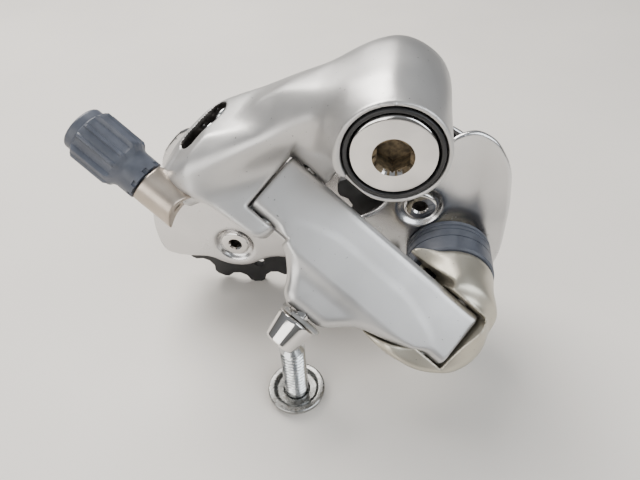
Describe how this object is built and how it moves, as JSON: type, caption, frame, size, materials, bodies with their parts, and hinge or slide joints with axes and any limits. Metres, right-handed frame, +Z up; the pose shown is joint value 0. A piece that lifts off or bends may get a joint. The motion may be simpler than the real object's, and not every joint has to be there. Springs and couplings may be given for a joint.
{
  "type": "rear bicycle derailleur",
  "caption": "Short-cage rear derailleur: mounting bolt and bracket, slanted parallelogram, sprung cage with two toothed pulleys, cable adjuster and clamp.",
  "frame": {"origin": "on the mounting bolt's axis, in the plane where the stop plate meets the frame's hanger", "axes": "+Y inboard along the mounting bolt, +Z up, +X forward on the bicycle"},
  "size_m": [0.1013, 0.0547, 0.0833],
  "materials": {
    "black_plastic": "black moulded plastic",
    "brass": "sintered bronze",
    "champagne_paint": "satin champagne paint over cast alloy",
    "chrome": "bright chrome plate",
    "grey_plastic": "blue grey moulded plastic",
    "polished_alloy": "polished pressed alloy",
    "silver_paint": "satin silver paint over cast alloy",
    "spring_steel": "dark spring wire",
    "steel": "plain turned steel",
    "zinc": "bright zinc plate"
  },
  "bodies": {
    "mount": {"bolt_snap_ring": "spring_steel", "hanger_stop_plate": "steel", "mounting_bolt": "chrome"},
    "bracket": {"bracket_body": "silver_paint", "head_seal_ring": "black_plastic", "mount_bushing": "black_plastic", "mount_spring": "spring_steel", "pin_upper_inner": "steel", "pin_upper_outer": "steel"},
    "outer_link": {"clamp_plate": "steel", "outer_link": "silver_paint", "return_spring": "spring_steel", "stand_screw": "zinc", "stand_washer": "steel"},
    "inner_link": {"inner_link": "polished_alloy"},
    "lower_knuckle": {"cage_spring": "spring_steel", "knuckle_collar": "grey_plastic", "lower_knuckle_body": "champagne_paint", "pin_lower_inner": "steel", "pin_lower_outer": "steel"},
    "cage": {"cage_axle": "steel", "cage_inner_plate": "polished_alloy", "cage_outer_plate": "polished_alloy", "cage_stop_pin": "steel", "guide_bushing": "brass", "guide_cap_inner": "steel", "guide_cap_outer": "steel", "guide_pulley_bolt": "chrome", "tension_bushing": "brass", "tension_cap_inner": "steel", "tension_cap_outer": "steel", "tension_pulley_bolt": "chrome"},
    "guide": {"guide_pulley": "black_plastic"},
    "tension": {"tension_pulley": "black_plastic"},
    "adjuster": {"adjuster_barrel": "grey_plastic", "adjuster_insert": "steel"},
    "high_screw": {"limit_screw_high": "zinc"},
    "low_screw": {"limit_screw_low": "zinc"},
    "b_screw": {"b_tension_screw": "zinc"},
    "clamp": {"clamp_bolt": "chrome"}
  },
  "joints": [
    {"name": "bracket_pivot", "type": "hinge", "parent": "mount", "child": "bracket", "pos_m": [0, 0, 0], "axis": [0, -1, 0], "range_deg": [0, 40], "stiffness_Nm_per_rad": 0.6, "springref_deg": -85.94},
    {"name": "parallelogram_swing", "type": "hinge", "parent": "bracket", "child": "outer_link", "pos_m": [-0.02285, -0.01215, -0.02079], "axis": [0.5742, 0.6422, 0.5079], "range_deg": [0, 60], "stiffness_Nm_per_rad": 0.6, "springref_deg": -57.3},
    {"name": "inner_link_swing", "type": "hinge", "parent": "bracket", "child": "inner_link", "pos_m": [-0.02993, -0.0034, -0.02386], "axis": [0.5742, 0.6422, 0.5079], "range_deg": [0, 60]},
    {"name": "lower_knuckle_swing", "type": "hinge", "parent": "outer_link", "child": "lower_knuckle", "pos_m": [0.01437, -0.0241, -0.04776], "axis": [0.5742, 0.6422, 0.5079], "range_deg": [-60, 0]},
    {"name": "cage_swing", "type": "hinge", "parent": "lower_knuckle", "child": "cage", "pos_m": [0.0168, 0.001, -0.046], "axis": [0, -1, 0], "range_deg": [0, 150], "stiffness_Nm_per_rad": 0.12, "springref_deg": -114.59},
    {"name": "guide_pulley_spin", "type": "hinge", "parent": "cage", "child": "guide", "pos_m": [0.00805, 0.0087, -0.0323], "axis": [0, 1, 0], "continuous": true},
    {"name": "tension_pulley_spin", "type": "hinge", "parent": "cage", "child": "tension", "pos_m": [-0.0435, 0.0087, -0.0503], "axis": [0, 1, 0], "continuous": true},
    {"name": "adjuster_turn", "type": "hinge", "parent": "bracket", "child": "adjuster", "pos_m": [-0.06051, -0.01477, -0.00996], "axis": [0.7837, -0.2516, -0.5678], "range_deg": [-720, 720]},
    {"name": "high_screw_turn", "type": "hinge", "parent": "bracket", "child": "high_screw", "pos_m": [-0.03627, -0.00758, -0.0114], "axis": [0.7837, -0.2516, -0.5678], "range_deg": [-720, 720]},
    {"name": "low_screw_turn", "type": "hinge", "parent": "bracket", "child": "low_screw", "pos_m": [-0.0338, -0.00482, -0.00921], "axis": [0.7837, -0.2516, -0.5678], "range_deg": [-720, 720]},
    {"name": "b_screw_turn", "type": "hinge", "parent": "bracket", "child": "b_screw", "pos_m": [-0.0142, -0.0007, -0.0096], "axis": [0, 0, 1], "range_deg": [-720, 720]},
    {"name": "clamp_bolt_turn", "type": "hinge", "parent": "outer_link", "child": "clamp", "pos_m": [-0.01818, -0.02909, -0.04206], "axis": [0.5742, 0.6422, 0.5079], "range_deg": [-720, 720]}
  ],
  "couplings": [
    {"joint": "inner_link_swing", "follows": "parallelogram_swing", "ratio": 1},
    {"joint": "lower_knuckle_swing", "follows": "parallelogram_swing", "ratio": -1}
  ]
}
